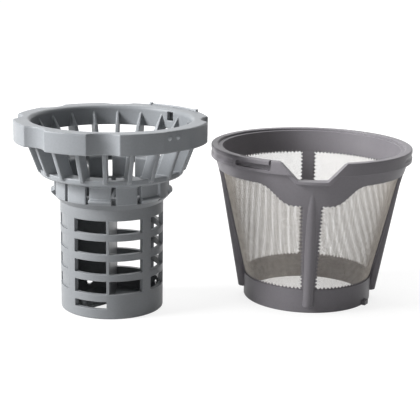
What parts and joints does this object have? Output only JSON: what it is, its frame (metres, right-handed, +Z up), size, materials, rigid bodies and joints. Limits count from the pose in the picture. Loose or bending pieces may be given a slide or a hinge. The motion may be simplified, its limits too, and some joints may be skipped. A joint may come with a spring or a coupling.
{
  "type": "dishwasher filter",
  "caption": "Dishwasher filter taken apart: a slotted coarse filter with a scooped grip collar and finned basket, and a tapered fine mesh cup with a notched rim.",
  "frame": {"origin": "on the floor, on the axis of the coarse filter, at the foot of its tube", "axes": "+Z up along the axis of the coarse filter; -Y is the front, towards the pouring notch; the cup stands on the +X side"},
  "size_m": [0.245, 0.1486, 0.1192],
  "materials": {
    "grey_plastic": "moulded satin",
    "dark_plastic": "moulded satin",
    "mesh_wire": "woven fine wire"
  },
  "bodies": {
    "root": {"coarse_basket": "grey_plastic", "coarse_tube": "grey_plastic", "cup_frame": "dark_plastic", "cup_mesh": "mesh_wire"}
  },
  "joints": []
}
